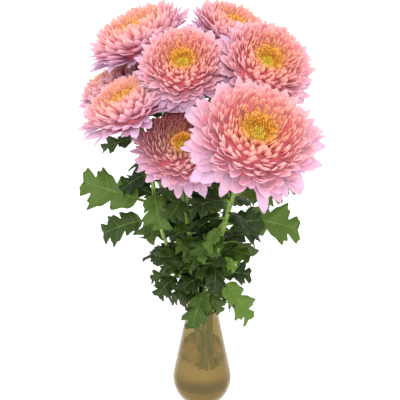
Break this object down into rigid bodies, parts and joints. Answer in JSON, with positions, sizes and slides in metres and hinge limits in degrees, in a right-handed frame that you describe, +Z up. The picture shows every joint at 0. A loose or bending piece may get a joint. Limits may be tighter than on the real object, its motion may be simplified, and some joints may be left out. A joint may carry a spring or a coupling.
{
  "type": "chrysanthemums in a jar",
  "caption": "A bunch of large pink incurved chrysanthemums with lobed leaves, standing in water in a tinted teardrop glass jar with a flared lip.",
  "frame": {"origin": "centre of the jar's flat foot, on the surface it stands on", "axes": "+Z up along the jar's axis; -Y towards the front, where the largest bloom faces; +X to its right"},
  "size_m": [0.2783, 0.3113, 0.5376],
  "materials": {
    "jar_glass": "clear glass with a smoky tan tint, glossy",
    "water": "still, slightly cloudy water",
    "stem": "matte ribbed green stem, paler at its cut end",
    "calyx": "matte green overlapping bracts with papery edges",
    "outer_petals": "soft satin, lilac pink with pale tips",
    "inner_petals": "soft satin, coral pink with cream tips, orange towards the centre",
    "disc_florets": "matte, golden yellow turning green at the middle",
    "leaf": "satin dark green above, paler grey-green below, with pale veins"
  },
  "bodies": {
    "root": {"jar": "jar_glass", "water": "water", "front_stem": "stem", "front_calyx": "calyx", "front_outer_petals": "outer_petals", "front_inner_petals": "inner_petals", "front_disc": "disc_florets", "back_left_stem": "stem", "back_left_calyx": "calyx", "back_left_outer_petals": "outer_petals", "back_left_inner_petals": "inner_petals", "back_left_disc": "disc_florets", "middle_stem": "stem", "middle_calyx": "calyx", "middle_outer_petals": "outer_petals", "middle_inner_petals": "inner_petals", "middle_disc": "disc_florets", "right_stem": "stem", "right_calyx": "calyx", "right_outer_petals": "outer_petals", "right_inner_petals": "inner_petals", "right_disc": "disc_florets", "left_stem": "stem", "left_calyx": "calyx", "left_outer_petals": "outer_petals", "left_inner_petals": "inner_petals", "left_disc": "disc_florets", "low_stem": "stem", "low_calyx": "calyx", "low_outer_petals": "outer_petals", "low_inner_petals": "inner_petals", "low_disc": "disc_florets", "back_right_stem": "stem", "back_right_calyx": "calyx", "back_right_outer_petals": "outer_petals", "back_right_inner_petals": "inner_petals", "back_right_disc": "disc_florets", "far_left_stem": "stem", "far_left_calyx": "calyx", "far_left_outer_petals": "outer_petals", "far_left_inner_petals": "inner_petals", "far_left_disc": "disc_florets", "leaf_left_high": "leaf", "leaf_left_curled": "leaf", "leaf_left_low": "leaf", "leaf_left_pointed": "leaf", "leaf_shaded_left": "leaf", "leaf_hanging_left": "leaf", "leaf_over_lip": "leaf", "leaf_over_lip_right": "leaf", "leaf_right_high": "leaf", "leaf_right_shaded": "leaf", "leaf_right_small": "leaf", "leaf_front_tall": "leaf", "leaf_front_left": "leaf", "leaf_front_small": "leaf", "leaf_front_middle": "leaf", "leaf_back_right": "leaf", "leaf_back_left": "leaf", "leaf_back_low": "leaf"}
  },
  "joints": []
}
